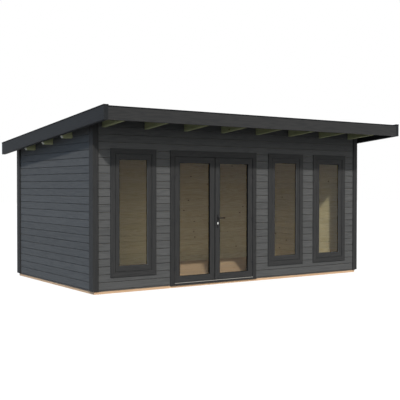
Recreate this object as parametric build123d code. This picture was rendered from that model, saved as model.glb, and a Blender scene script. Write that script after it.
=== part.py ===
from build123d import *
import math
import os

# Garden house of 44 mm wall boards with a mono-pitch roof, high at the front.
# X runs along the front, +Y from the front to the back, +Z up. The origin is on the ground,
# below the middle of the roof's outline. All lengths are in millimetres.

# House over its corner boards
house_length = 5700
house_depth = 3150
wall_thickness = 44
corner_thickness = 25
corner_front_width = 100
corner_side_width = 132

# Chamfers along the edges of planed boards, of beams, and round the glass
board_arris = 3
beam_arris = 5
glass_bevel = 6

# Joists and floor
joist_height = 54
joist_width = 70
joist_setback = 35
cross_joist_count = 9
floor_thickness = 19

# Roof slope, overhangs to the faces of the outer boards, and heights
roof_angle = 4.9
front_overhang = 823
rear_overhang = 136
side_overhang = 234
rafter_underside_height = 2576
rafter_width = 70
rafter_height = 145
rafter_count = 8
rafter_inset = 172
deck_thickness = 19
covering_thickness = 4
fascia_thickness = 28
front_fascia_height = 202
rear_fascia_height = 95
verge_thickness = 71
verge_height = 216
verge_rise = 11
edge_lip_thickness = 3
edge_lip_height = 18

# Outriggers, the short cross beams that carry the verges
outrigger_width = 70
outrigger_height = 145
outrigger_drop = 70
outrigger_count = 3
outrigger_spacing = 764
outrigger_bevel_length = 32
outrigger_bevel_height = 48

# Casings round windows and doors
casing_width = 80
casing_thickness = 22
lining_thickness = 35
opening_top = 2256
stop_depth = 12
inner_casing_width = 60
inner_casing_thickness = 16

# Blank wall before, between and after the four casings in the front, from the left end.
# In a house of another length, or with other openings, these share what is left in proportion.
blank_widths = (312, 268, 275, 258, 322)

# Windows
window_names = ("left", "middle", "right")
window_width = 825
window_bottom = 248
sash_thickness = 44
sash_recess = 5
sash_stile = 76
sash_rail = 88
sash_gap = 3
glass_thickness = 6
glass_groove = 10
glass_setback = 28

# Double door
door_opening_width = 1630
head_casing_height = 98
leaf_thickness = 44
leaf_recess = 5
leaf_stile = 97
leaf_rail = 106
leaf_gap = 5
meeting_gap = 10
threshold_height = 20
threshold_setback = 8
sill_thickness = 10
sill_nose_reach = 9
sill_nose_fall = 3
sill_drip_thickness = 5
sill_drip_fall = 2
sill_stop_height = 10

# Hinges
hinge_heights = (330, 1085, 1840)
hinge_barrel_radius = 7
hinge_pin_radius = 4
hinge_pin_clearance = 0.06
hinge_half_height = 36
hinge_half_gap = 0.5
hinge_pin_reach = 30
hinge_bore_depth = 32
hinge_plate_length = 38
hinge_plate_thickness = 3
hinge_pin_stand = 8
hinge_web_thickness = 5

# Lever handle, plates and lock cylinder on the right leaf
lever_height = 1131
lever_from_leaf_edge = 48
lever_radius = 8.5
lever_reach = 48
lever_bend_radius = 14
lever_length = 118
spindle_radius = 5
spindle_bore_radius = 8
plate_width = 32
plate_height = 230
plate_thickness = 8
plate_above_lever = 60
plate_corner_radius = 6
lever_clearance = 0.3
cylinder_below_lever = 80
cylinder_radius = 8.5
cylinder_height = 33
cylinder_web = 10
cylinder_reach = 4
cylinder_clearance = 0.3
forend_width = 20
forend_height = 235
forend_thickness = 3

# Worked-out places
slope = math.tan(math.radians(roof_angle))
plumb = 1 / math.cos(math.radians(roof_angle))
roof_run = front_overhang + house_depth + rear_overhang
y_fascia = -roof_run / 2
y_tail = roof_run / 2
y_front = y_fascia + front_overhang
y_rear = y_front + house_depth
x_left = -house_length / 2
x_right = house_length / 2
x_verge = x_right + side_overhang
x_verge_inner = x_verge - verge_thickness
y_wall_front = y_front + corner_thickness
y_wall_rear = y_rear - corner_thickness
x_wall_left = x_left + corner_thickness
x_wall_right = x_right - corner_thickness
y_room_front = y_wall_front + wall_thickness
y_room_rear = y_wall_rear - wall_thickness
x_room_left = x_wall_left + wall_thickness
x_room_right = x_wall_right - wall_thickness
wall_bottom = joist_height
casing_face = y_wall_front - casing_thickness
sill_top = wall_bottom + threshold_height + sill_thickness

# Heights above the underside of the deck, measured plumb
rafter_drop = -rafter_height * plumb
deck_top = deck_thickness * plumb
covering_top = deck_top + covering_thickness * plumb
verge_cap_top = covering_top + (verge_rise + covering_thickness) * plumb
verge_top = covering_top + verge_rise * plumb
verge_bottom = verge_top - verge_height * plumb
outrigger_bottom = rafter_drop - outrigger_drop
outrigger_top = outrigger_bottom + outrigger_height * plumb
deck_underside_at_wall = rafter_underside_height - rafter_drop


def casing_lefts():
    """Left edge along X of each casing in the front: left window, door, middle and right window."""
    widths = (window_width, door_opening_width + 2 * casing_width, window_width, window_width)
    share = (house_length - sum(widths)) / sum(blank_widths)
    edges = []
    x = x_left
    for blank, width in zip(blank_widths, widths):
        x += blank * share
        edges.append(x)
        x += width
    return edges


def window_lefts():
    """Left edge along X of the casing of each window."""
    left, _, middle, right = casing_lefts()
    return left, middle, right


def deck_z(y):
    """Height of the underside of the roof deck at a distance y."""
    return deck_underside_at_wall - (y - y_wall_front) * slope


def block(x0, x1, y0, y1, z0, z1):
    """Square-edged block between two corners."""
    return Pos(x0, y0, z0) * Box(x1 - x0, y1 - y0, z1 - z0, align=(Align.MIN, Align.MIN, Align.MIN))


def side_profile(x0, x1, points):
    """Outline of (y, z) points carried along X from x0 to x1."""
    outline = Polyline([(x0, y, z) for y, z in points], close=True)
    return extrude(make_face(outline), amount=x1 - x0, dir=(1, 0, 0))


def sloped_bar(x0, x1, y0, y1, low, high):
    """Bar that follows the roof, with plumb ends; low and high are above the deck's underside."""
    corners = [(y0, deck_z(y0) + low), (y1, deck_z(y1) + low), (y1, deck_z(y1) + high), (y0, deck_z(y0) + high)]
    return side_profile(x0, x1, corners)


def wall_up_to_roof(x0, x1, y0, y1, bottom):
    """Wall slab from a level bottom to the underside of the deck."""
    corners = [(y0, bottom), (y1, bottom), (y1, deck_z(y1)), (y0, deck_z(y0))]
    return side_profile(x0, x1, corners)


def ring(x0, x1, z0, z1, y0, y1, side, top, bottom):
    """Upright rectangular frame with its own width at the sides, top and bottom."""
    outer = block(x0, x1, y0, y1, z0, z1)
    return outer - block(x0 + side, x1 - side, y0, y1, z0 + bottom, z1 - top)


def ease_front(solid, outer, inner):
    """Chamfer the outer and the inner edges of the face that looks furthest forward."""
    face = solid.faces().filter_by(Axis.Y).sort_by(Axis.Y)[0]
    solid = chamfer(face.outer_wire().edges(), outer)
    face = solid.faces().filter_by(Axis.Y).sort_by(Axis.Y)[0]
    if face.inner_wires():
        solid = chamfer(face.inner_wires()[0].edges(), inner)
    return solid


def ease_below(beam):
    """Chamfer the two lower long edges of a beam."""
    long_edges = beam.edges().sort_by(SortBy.LENGTH)[-4:]
    return chamfer(long_edges.sort_by(Axis.Z)[:2], beam_arris)


def write(name, *solids):
    """Write one node, a single solid or several that don't touch."""
    shape = solids[0] if len(solids) == 1 else Compound(children=list(solids))
    export_step(shape, f"parts/{name}.step")


def rafter_lefts():
    """Left side of each rafter, spaced evenly between the first and the last."""
    first = x_left + rafter_inset
    pitch = (house_length - 2 * rafter_inset - rafter_width) / (rafter_count - 1)
    return [first + n * pitch for n in range(rafter_count)]


def outrigger_fronts():
    """Front side of each outrigger, spaced about the middle of the house's depth."""
    middle = (y_front + y_rear) / 2
    first = middle - (outrigger_count - 1) / 2 * outrigger_spacing - outrigger_width / 2
    return [first + n * outrigger_spacing for n in range(outrigger_count)]


def rafter_blanks():
    """Rafters before they are notched over the outriggers."""
    ends = (y_fascia + fascia_thickness, y_tail - fascia_thickness)
    return [sloped_bar(x, x + rafter_width, *ends, rafter_drop, 0) for x in rafter_lefts()]


def outrigger_blank(y, side):
    """One outrigger, from the verge beam to the side of the second rafter; side is -1 or 1."""
    second = rafter_lefts()[1]
    blank = sloped_bar(-x_verge_inner, second, y, y + outrigger_width, outrigger_bottom, outrigger_top)
    blank = ease_below(blank)
    low = deck_z(y) + outrigger_bottom
    cut = Polyline([
        (-x_verge_inner, y, low),
        (-x_verge_inner + outrigger_bevel_length, y, low),
        (-x_verge_inner, y, low + outrigger_bevel_height),
    ], close=True)
    blank -= extrude(make_face(cut), amount=outrigger_width * plumb, dir=(0, 1, -slope))
    return blank if side < 0 else mirror(blank, Plane.YZ)


def outrigger_slots():
    """Room for the outriggers through the side walls and under the end rafters."""
    slots = []
    for y in outrigger_fronts():
        slots.append(sloped_bar(-x_verge, x_verge, y, y + outrigger_width, outrigger_bottom, outrigger_top))
    return slots


def foundation():
    """Untreated joists: front and rear over the full length, the others between them."""
    x0 = x_left + joist_setback
    x1 = x_right - joist_setback
    y0 = y_front + joist_setback
    y1 = y_rear - joist_setback
    write("front_joist", block(x0, x1, y0, y0 + joist_width, 0, joist_height))
    write("rear_joist", block(x0, x1, y1 - joist_width, y1, 0, joist_height))
    pitch = (x1 - x0 - joist_width) / (cross_joist_count - 1)
    crosses = []
    for n in range(cross_joist_count):
        x = x0 + n * pitch
        crosses.append(block(x, x + joist_width, y0 + joist_width, y1 - joist_width, 0, joist_height))
    write("cross_joists", *crosses)
    top = joist_height + floor_thickness
    write("floor", block(x_room_left, x_room_right, y_room_front, y_room_rear, joist_height, top))


def window_box(left, inset, y0, y1):
    """Block filling one window, inset from the outer edge of its casing."""
    x0 = left + inset
    x1 = left + window_width - inset
    return block(x0, x1, y0, y1, window_bottom + inset, opening_top - inset)


def door_edges():
    """Left and right faces of the door opening between the jambs."""
    left = casing_lefts()[1] + casing_width
    return left, left + door_opening_width


def walls():
    """Four walls, notched round the rafters and outriggers, with the front split at the door."""
    rafters = rafter_blanks()
    slots = outrigger_slots()
    door_left, door_right = door_edges()
    head_bottom = opening_top - head_casing_height + lining_thickness
    left_end = door_left - lining_thickness
    right_start = door_right + lining_thickness
    front = {
        "front_wall_left": wall_up_to_roof(x_wall_left, left_end, y_wall_front, y_room_front, wall_bottom),
        "front_wall_right": wall_up_to_roof(right_start, x_wall_right, y_wall_front, y_room_front, wall_bottom),
        "front_wall_head": wall_up_to_roof(left_end, right_start, y_wall_front, y_room_front, head_bottom),
    }
    hole_inset = casing_width - lining_thickness
    holes = [window_box(left, hole_inset, y_wall_front, y_room_front) for left in window_lefts()]
    for name, wall in front.items():
        write(name, wall - rafters - holes)
    rear = wall_up_to_roof(x_wall_left, x_wall_right, y_room_rear, y_wall_rear, wall_bottom)
    write("rear_wall", rear - rafters)
    left = wall_up_to_roof(x_wall_left, x_room_left, y_room_front, y_room_rear, wall_bottom)
    right = wall_up_to_roof(x_room_right, x_wall_right, y_room_front, y_room_rear, wall_bottom)
    write("left_wall", left - slots)
    write("right_wall", right - slots)


def outer_arrises(board, x, y):
    """Upright edges of a corner board that lie in its two outer faces."""
    uprights = board.edges().filter_by(Axis.Z)
    return [e for e in uprights if min(abs(e.center().X - x), abs(e.center().Y - y)) < board_arris / 2]


def corner_boards():
    """L-shaped corner boards that cover the wall ends and run up to the deck."""
    for x_name, x_side in (("left", -1), ("right", 1)):
        for y_name, y0, y_dir in (("front", y_front, 1), ("rear", y_rear, -1)):
            face_y = sorted((y0, y0 + y_dir * corner_thickness))
            side_y = sorted((y0, y0 + y_dir * corner_side_width))
            face = wall_up_to_roof(x_left, x_left + corner_front_width, *face_y, wall_bottom)
            side = wall_up_to_roof(x_left, x_wall_left, *side_y, wall_bottom)
            board = face + side
            board = chamfer(outer_arrises(board, x_left, y0), board_arris)
            if x_side > 0:
                board = mirror(board, Plane.YZ)
            write(f"corner_board_{y_name}_{x_name}", board)


def windows():
    """Fixed windows: casing and lining in one frame, a sash against its stop, and a pane."""
    sash_front = casing_face + sash_recess
    sash_back = sash_front + sash_thickness
    panes = []
    for name, left in zip(window_names, window_lefts()):
        flange = window_box(left, 0, casing_face, y_wall_front)
        lining = window_box(left, casing_width - lining_thickness, y_wall_front, y_room_front)
        light = window_box(left, casing_width, casing_face, sash_back)
        behind = window_box(left, casing_width + stop_depth, sash_back, y_room_front)
        frame = flange + lining - light - behind
        write(f"window_frame_{name}", ease_front(frame, board_arris, board_arris))
        inset = casing_width + sash_gap
        x0 = left + inset
        x1 = left + window_width - inset
        z0 = window_bottom + inset
        z1 = opening_top - inset
        stile = sash_stile - sash_gap
        rail = sash_rail - sash_gap
        sash = ring(x0, x1, z0, z1, sash_front, sash_back, stile, rail, rail)
        sash = ease_front(sash, board_arris, glass_bevel)
        pane_y = sash_front + glass_setback
        pane = block(x0 + stile - glass_groove, x1 - stile + glass_groove, pane_y, pane_y + glass_thickness,
                     z0 + rail - glass_groove, z1 - rail + glass_groove)
        panes.append(pane)
        write(f"window_sash_{name}", sash - pane)
    write("window_panes", *panes)


def door_frame():
    """Jambs and head with casing, lining and stop, and a metal sill with a stop on a wooden threshold."""
    door_left, door_right = door_edges()
    leaf_back = casing_face + leaf_recess + leaf_thickness
    stop_y = leaf_back + leaf_gap
    head_z = opening_top - head_casing_height
    jamb = block(door_left - casing_width, door_left, casing_face, y_wall_front, wall_bottom, head_z)
    jamb += block(door_left - lining_thickness, door_left, y_wall_front, y_room_front, wall_bottom, head_z)
    jamb += block(door_left, door_left + stop_depth, stop_y, y_room_front, sill_top, head_z)
    jamb = ease_front(jamb, board_arris, board_arris)
    write("door_jamb_left", jamb)
    middle = (door_left + door_right) / 2
    write("door_jamb_right", mirror(jamb, Plane.YZ.offset(middle)))
    head = block(door_left - casing_width, door_right + casing_width, casing_face, y_wall_front, head_z, opening_top)
    head += block(door_left - lining_thickness, door_right + lining_thickness, y_wall_front, y_room_front,
                  head_z, head_z + lining_thickness)
    head += block(door_left + stop_depth, door_right - stop_depth, stop_y, y_room_front,
                  head_z - stop_depth, head_z)
    write("door_head", ease_front(head, board_arris, board_arris))
    threshold_front = casing_face + threshold_setback
    sill_base = wall_bottom + threshold_height
    nose = casing_face - sill_nose_reach
    write("door_threshold", block(door_left, door_right, threshold_front, y_room_front, wall_bottom, sill_base))
    sill = side_profile(door_left, door_right, [
        (nose, sill_base - sill_drip_fall),
        (nose + sill_drip_thickness, sill_base - sill_drip_fall),
        (nose + sill_drip_thickness, sill_base),
        (y_room_front, sill_base),
        (y_room_front, sill_top),
        (casing_face + leaf_recess, sill_top),
        (nose, sill_top - sill_nose_fall),
    ])
    sill += block(door_left + stop_depth, door_right - stop_depth, stop_y, y_room_front,
                  sill_top, sill_top + sill_stop_height)
    write("door_sill", sill)


def leaf_box(side):
    """Edges of a door leaf: x of the hinge side and of the meeting side, bottom and top."""
    door_left, door_right = door_edges()
    middle = (door_left + door_right) / 2
    hinge_x = door_left + leaf_gap if side < 0 else door_right - leaf_gap
    meeting_x = middle + side * meeting_gap / 2
    bottom = sill_top + leaf_gap
    top = opening_top - head_casing_height - leaf_gap
    return hinge_x, meeting_x, bottom, top


def lever_axis_x():
    """Distance along X of the lever's spindle, on the right leaf's meeting stile."""
    return leaf_box(1)[1] + lever_from_leaf_edge


def door_leaves():
    """Two leaves, each a frame round one tall pane held in a groove."""
    face = casing_face + leaf_recess
    back = face + leaf_thickness
    pane_y = face + glass_setback
    for name, side in (("left", -1), ("right", 1)):
        hinge_x, meeting_x, bottom, top = leaf_box(side)
        x0, x1 = sorted((hinge_x, meeting_x))
        leaf = ring(x0, x1, bottom, top, face, back, leaf_stile, leaf_rail, leaf_rail)
        leaf = ease_front(leaf, board_arris, glass_bevel)
        pane = block(x0 + leaf_stile - glass_groove, x1 - leaf_stile + glass_groove,
                     pane_y, pane_y + glass_thickness,
                     bottom + leaf_rail - glass_groove, top - leaf_rail + glass_groove)
        leaf -= pane
        if side > 0:
            leaf -= along_y(lever_axis_x(), lever_height, spindle_bore_radius, face, back)
            leaf -= cylinder_profile(cylinder_clearance, face, back)
            leaf -= forend()
        write(f"door_leaf_{name}", leaf)
        write(f"door_glass_{name}", pane)


def along_y(x, z, radius, y0, y1):
    """Round bar or bore along Y between two distances."""
    disc = Plane(origin=(x, y0, z), x_dir=(1, 0, 0), z_dir=(0, 1, 0)) * Circle(radius)
    return extrude(disc, amount=y1 - y0, dir=(0, 1, 0))


def cylinder_profile(grow, y0, y1):
    """Lock cylinder's keyhole-shaped bar along Y, larger all round by grow: a round plug over a web."""
    x = lever_axis_x()
    z = lever_height - cylinder_below_lever
    half_web = cylinder_web / 2
    web_z = z + cylinder_radius - cylinder_height + half_web
    bar = along_y(x, z, cylinder_radius + grow, y0, y1)
    bar += block(x - half_web - grow, x + half_web + grow, y0, y1, web_z, z)
    bar += along_y(x, web_z, half_web + grow, y0, y1)
    return bar


def forend():
    """Metal strip of the mortise lock, let in flush in the middle of the right leaf's meeting edge."""
    meeting_x = leaf_box(1)[1]
    y = casing_face + leaf_recess + leaf_thickness / 2
    z = lever_height - cylinder_below_lever / 2
    return block(meeting_x, meeting_x + forend_thickness, y - forend_width / 2, y + forend_width / 2,
                 z - forend_height / 2, z + forend_height / 2)


def upright(x, y, radius, z0, z1):
    """Round bar or bore along Z between two heights."""
    return extrude(Pos(x, y, z0) * Circle(radius), amount=z1 - z0)


def hinge_frame_half(x, y, z):
    """Lower barrel with its pin and the plate on the casing, for the left jamb."""
    z0 = z - hinge_half_gap / 2 - hinge_half_height
    z1 = z - hinge_half_gap / 2
    half = upright(x, y, hinge_barrel_radius, z0, z1)
    half += upright(x, y, hinge_pin_radius, z1, z + hinge_pin_reach)
    half += block(x - hinge_plate_length, x, casing_face - hinge_plate_thickness, casing_face, z0, z1)
    return half


def hinge_leaf_half(x, y, z):
    """Upper barrel bored for the pin, with a web to the plate on the leaf, for the left leaf."""
    z0 = z + hinge_half_gap / 2
    z1 = z0 + hinge_half_height
    face = casing_face + leaf_recess
    half = upright(x, y, hinge_barrel_radius, z0, z1)
    half += block(x + 1, x + 1 + hinge_web_thickness, y, face, z0, z1)
    half += block(x + 1, x + hinge_plate_length, face - hinge_plate_thickness, face, z0, z1)
    half -= upright(x, y, hinge_pin_radius + hinge_pin_clearance, z0, z + hinge_bore_depth)
    return half


def hinges():
    """Three hinges a leaf, with the pins standing in front of the casing."""
    door_left, door_right = door_edges()
    middle = (door_left + door_right) / 2
    x = door_left + leaf_gap / 2
    y = casing_face - hinge_pin_stand
    frame_left = [hinge_frame_half(x, y, z) for z in hinge_heights]
    leaf_left = [hinge_leaf_half(x, y, z) for z in hinge_heights]
    over = Plane.YZ.offset(middle)
    frame_right = [mirror(half, over) for half in frame_left]
    leaf_right = [mirror(half, over) for half in leaf_left]
    write("frame_hinges", *frame_left, *frame_right)
    write("leaf_hinges_left", *leaf_left)
    write("leaf_hinges_right", *leaf_right)
    print("hinge pins at x", x, 2 * middle - x, "y", y)


def lever_arm(x, z, y_leaf, out):
    """Round lever: a neck away from the leaf, a bend and a level grip towards the hinges."""
    y_end = y_leaf + out * lever_reach
    path = FilletPolyline((x, y_leaf, z), (x, y_end, z), (x + lever_length, y_end, z), radius=lever_bend_radius)
    section = Plane(origin=(x, y_leaf, z), x_dir=(1, 0, 0), z_dir=(0, out, 0)) * Circle(lever_radius)
    return sweep(section, path=path)


def lever_and_lock():
    """Lever handles on one spindle, a long plate on each face, the lock's forend and its cylinder."""
    x = lever_axis_x()
    face = casing_face + leaf_recess
    back = face + leaf_thickness
    arms = lever_arm(x, lever_height, face - plate_thickness / 2, -1)
    arms += lever_arm(x, lever_height, back + plate_thickness / 2, 1)
    arms += along_y(x, lever_height, spindle_radius, face - plate_thickness, back + plate_thickness)
    write("door_lever", arms)
    plate_top = lever_height + plate_above_lever
    plates = []
    for y0 in (face - plate_thickness, back):
        plate = block(x - plate_width / 2, x + plate_width / 2, y0, y0 + plate_thickness,
                      plate_top - plate_height, plate_top)
        plate = fillet(plate.edges().filter_by(Axis.Y), plate_corner_radius)
        plate -= along_y(x, lever_height, lever_radius + lever_clearance, y0, y0 + plate_thickness)
        plate -= cylinder_profile(0, y0, y0 + plate_thickness)
        plates.append(plate)
    write("lock_plates", *plates, forend())
    reach = plate_thickness + cylinder_reach
    write("lock_cylinder", cylinder_profile(0, face - reach, back + reach))
    print("lever axis at x", x)


def inner_casings():
    """Flat casings on the room side, round each window and over three sides of the door."""
    y1 = y_room_front + inner_casing_thickness
    solids = []
    for left in window_lefts():
        inset = casing_width - inner_casing_width + stop_depth
        outer = window_box(left, inset, y_room_front, y1)
        solids.append(outer - window_box(left, casing_width + stop_depth, y_room_front, y1))
    door_left, door_right = door_edges()
    floor_top = joist_height + floor_thickness
    head_z = opening_top - head_casing_height - stop_depth
    side = inner_casing_width - stop_depth
    outer = block(door_left - side, door_right + side, y_room_front, y1, floor_top, head_z + inner_casing_width)
    solids.append(outer - block(door_left + stop_depth, door_right - stop_depth, y_room_front, y1, floor_top, head_z))
    write("inner_casings", *solids)


def roof():
    """Rafters seated over the outriggers, verges, fascias, deck and covering."""
    blanks = rafter_blanks()
    outriggers = []
    for side in (-1, 1):
        for y in outrigger_fronts():
            outriggers.append(outrigger_blank(y, side))
    seats = outrigger_slots()
    halved = []
    for n, blank in enumerate(blanks):
        rafter = ease_below(blank)
        halved.append(rafter - seats if n in (0, rafter_count - 1) else rafter)
    write("rafters", *halved)
    write("outriggers", *outriggers)
    beam = ease_below(sloped_bar(-x_verge, -x_verge_inner, y_fascia, y_tail, verge_bottom, verge_top))
    write("left_verge_beam", beam)
    write("right_verge_beam", mirror(beam, Plane.YZ))
    write("front_fascia", fascia(y_fascia, y_fascia + fascia_thickness, front_fascia_height))
    write("rear_fascia", fascia(y_tail - fascia_thickness, y_tail, rear_fascia_height))
    write("roof_deck", sloped_bar(-x_verge_inner, x_verge_inner, y_fascia + fascia_thickness,
                                  y_tail - fascia_thickness, 0, deck_top))
    write("roof_covering", covering())


def fascia(y0, y1, height):
    """Upright board with a level lower edge and its top under the covering."""
    bottom = deck_z(y0) + deck_top - height
    corners = [(y0, bottom), (y1, bottom), (y1, deck_z(y1) + deck_top), (y0, deck_z(y0) + deck_top)]
    board = side_profile(-x_verge_inner, x_verge_inner, corners)
    return chamfer(board.edges().filter_by(Axis.X).sort_by(Axis.Z)[:2], board_arris)


def covering():
    """Sheet over deck and fascias, turned down in front and behind and capped over both verges."""
    sheet = sloped_bar(-x_verge_inner, x_verge_inner, y_fascia, y_tail, deck_top, covering_top)
    lips = []
    for y0, y1 in ((y_fascia - edge_lip_thickness, y_fascia), (y_tail, y_tail + edge_lip_thickness)):
        lips.append(sloped_bar(-x_verge_inner, x_verge_inner, y0, y1, covering_top - edge_lip_height, covering_top))
    left = []
    ends = (y_fascia - edge_lip_thickness, y_tail + edge_lip_thickness)
    upstand = covering_thickness
    left.append(sloped_bar(-x_verge_inner, -x_verge_inner + upstand, *ends, covering_top, verge_cap_top))
    left.append(sloped_bar(-x_verge, -x_verge_inner, *ends, verge_top, verge_cap_top))
    left.append(sloped_bar(-x_verge - edge_lip_thickness, -x_verge, *ends,
                           verge_cap_top - edge_lip_height, verge_cap_top))
    for y0, y1 in ((ends[0], y_fascia), (y_tail, ends[1])):
        left.append(sloped_bar(-x_verge, -x_verge_inner, y0, y1, verge_cap_top - edge_lip_height, verge_cap_top))
    body = sheet
    for piece in lips + left:
        body += piece
    for piece in left:
        body += mirror(piece, Plane.YZ)
    return body


def build():
    """Write every node to the parts folder."""
    os.makedirs("parts", exist_ok=True)
    foundation()
    walls()
    corner_boards()
    windows()
    door_frame()
    door_leaves()
    hinges()
    lever_and_lock()
    inner_casings()
    roof()


build()
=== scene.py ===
# %% [markdown]
# # A garden house in dark paint, seen from its front left corner
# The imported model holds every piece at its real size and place. This script dresses it with
# boards, mitred frames, rubber seals and a procedural finish for each piece. One unit is one
# metre, X runs along the front, +Y goes from the front to the back, and Z is up from the ground.

# %% Load the frame
import math

import bpy
import numpy as np
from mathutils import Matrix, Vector


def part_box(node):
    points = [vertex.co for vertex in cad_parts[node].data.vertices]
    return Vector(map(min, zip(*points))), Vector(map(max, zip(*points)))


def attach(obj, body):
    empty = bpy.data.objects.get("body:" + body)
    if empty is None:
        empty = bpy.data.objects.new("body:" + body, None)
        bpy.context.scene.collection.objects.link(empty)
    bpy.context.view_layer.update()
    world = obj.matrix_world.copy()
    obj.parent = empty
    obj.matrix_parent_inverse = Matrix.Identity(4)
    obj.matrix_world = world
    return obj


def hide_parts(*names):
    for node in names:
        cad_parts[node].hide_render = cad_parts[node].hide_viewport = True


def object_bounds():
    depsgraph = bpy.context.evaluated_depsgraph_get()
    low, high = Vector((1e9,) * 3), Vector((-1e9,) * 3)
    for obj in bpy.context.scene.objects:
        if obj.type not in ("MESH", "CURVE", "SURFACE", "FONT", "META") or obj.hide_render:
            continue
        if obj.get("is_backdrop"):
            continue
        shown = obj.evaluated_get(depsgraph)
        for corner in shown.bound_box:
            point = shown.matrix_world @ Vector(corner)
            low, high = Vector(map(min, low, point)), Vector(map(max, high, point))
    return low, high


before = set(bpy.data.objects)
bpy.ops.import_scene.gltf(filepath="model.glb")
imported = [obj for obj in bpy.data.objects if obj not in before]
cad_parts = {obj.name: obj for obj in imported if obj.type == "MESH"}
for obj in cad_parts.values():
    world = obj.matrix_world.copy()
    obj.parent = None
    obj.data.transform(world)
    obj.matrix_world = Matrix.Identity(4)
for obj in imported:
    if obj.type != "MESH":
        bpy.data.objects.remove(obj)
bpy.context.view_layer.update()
cad_finishes = len(bpy.data.materials)

# %% [markdown]
# ## Camera
# The picture was taken at eye height with a long lens, so that the left end shows narrow and the
# front long. Place and angles come from a fit to the corners of the house, without a shift.

# %% Camera
camera_place = (-8.0306, -11.6595, 1.6625)
camera_turns = (88.991, -0.063, -34.487)
camera_data = bpy.data.cameras.new("camera")
camera_data.lens = 68.11
camera_data.sensor_width = 36
camera = bpy.data.objects.new("camera", camera_data)
camera.location = camera_place
camera.rotation_euler = [math.radians(angle) for angle in camera_turns]
scene = bpy.context.scene
scene.collection.objects.link(camera)
scene.camera = camera
scene.view_settings.view_transform = "Standard"

# %% [markdown]
# ## Shader nodes in few words
# `put` adds one node to a material, sets its plain values and links whatever comes from another
# node, so that each finish below reads as a short recipe.

# %% Helpers for shader nodes
def feed(tree, node, inputs):
    """Give a node's inputs: each is a plain value or the output of another node."""
    for key, value in inputs.items():
        if isinstance(value, bpy.types.NodeSocket):
            tree.links.new(value, node.inputs[key])
        else:
            node.inputs[key].default_value = value


def put(tree, kind, inputs=None, **settings):
    """Add one shader node with its inputs and settings."""
    new = tree.nodes.new("ShaderNode" + kind)
    for key, value in settings.items():
        setattr(new, key, value)
    feed(tree, new, inputs or {})
    return new


def reckon(tree, operation, *values):
    """Output of one Math node."""
    return put(tree, "Math", dict(enumerate(values)), operation=operation).outputs[0]


def spread(tree, noise, width, middle=1.0):
    """Noise from 0 to 1 carried to a range of some width round a middle."""
    return reckon(tree, "MULTIPLY_ADD", noise, width, middle - width / 2)


def multiplied(tree, vector, factors):
    """Vector with each of its parts multiplied by a factor."""
    return put(tree, "VectorMath", {0: vector, 1: factors}, operation="MULTIPLY").outputs[0]


def ease(tree, value, start, end):
    """Value carried smoothly from 0 at start to 1 at end."""
    inputs = {"Value": value, "From Min": start, "From Max": end}
    return put(tree, "MapRange", inputs, interpolation_type="SMOOTHSTEP").outputs["Result"]


def tint(tree, share, first, second):
    """Colour between two others; share 0 gives the first and 1 the second."""
    first, second = (colour if isinstance(colour, bpy.types.NodeSocket) else paint(colour)
                     for colour in (first, second))
    return put(tree, "Mix", {0: share, 6: first, 7: second}, data_type="RGBA").outputs[2]


def paint(colour):
    """Display colour from 0 to 255 as the linear colour with alpha that shaders use."""
    part = np.asarray(colour, float) / 255
    linear = np.where(part <= 0.04045, part / 12.92, ((part + 0.055) / 1.055) ** 2.4)
    return (*linear.tolist(), 1.0)


def empty_tree(owner):
    """Node tree of a material or world, with its first nodes taken out."""
    owner.use_nodes = True
    owner.node_tree.nodes.clear()
    return owner.node_tree


def start_material(name):
    """Material with its tree and a Principled shader linked to its output."""
    material = bpy.data.materials.new(name)
    tree = empty_tree(material)
    shader = put(tree, "BsdfPrincipled")
    put(tree, "OutputMaterial", {"Surface": shader.outputs[0]})
    return material, tree, shader


# %% [markdown]
# ## Wood
# The sine of a noise stretched along the grain looks like the arches on a flat-sawn board. Knots
# are a few of the cells of a Voronoi texture. Each board carries a map called `grain`, with its
# length along U in metres, and a map called `plank` with two random numbers, so that no two
# match. CAD pieces take the grain along an axis.

# %% Helpers for wood
def grain_space(tree, grain):
    """Vector in metres with X along the grain: the board's own map, or an axis of the object."""
    if grain == "board":
        return put(tree, "UVMap", uv_map="grain").outputs["UV"]
    point = put(tree, "TexCoord").outputs["Object"]
    parts = put(tree, "SeparateXYZ", {0: point}).outputs
    order = {"x": "XYZ", "y": "YXZ", "z": "ZXY"}[grain]
    return put(tree, "CombineXYZ", {n: parts[axis] for n, axis in enumerate(order)}).outputs[0]


def stretched(tree, space, along, across, detail, rough=0.5):
    """Noise with so many waves a metre along and across the grain."""
    scaled = multiplied(tree, space, (along, across, across))
    inputs = {"Vector": scaled, "Scale": 1.0, "Detail": detail, "Roughness": rough}
    return put(tree, "TexNoise", inputs).outputs["Fac"]


# %% [markdown]
# ## The recipe for wood
# `timber` mixes bands and fibres between a pale and a dark colour, sets knots into them, gives
# each board its own tone, and uses the bands for a faint relief too. Paint is the same recipe
# with two greys that lie close together, because the grain shows through a thin coat.

# %% Helper: timber
fibre_waves = (5, 420)
band_waves = (0.55, 9)
patch_waves = (0.8, 3)
knot_grid = (5.5, 8.5, 8.5)
band_turns = 75.0
knot_turns = 9.0
knot_reach = (0.42, 0.02)
heart_reach = (0.15, 0.07)
heart_depth = 0.85
band_share = 0.62
fibre_share = 0.5
fibre_gloss = 0.16
groove_share = -0.35


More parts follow.
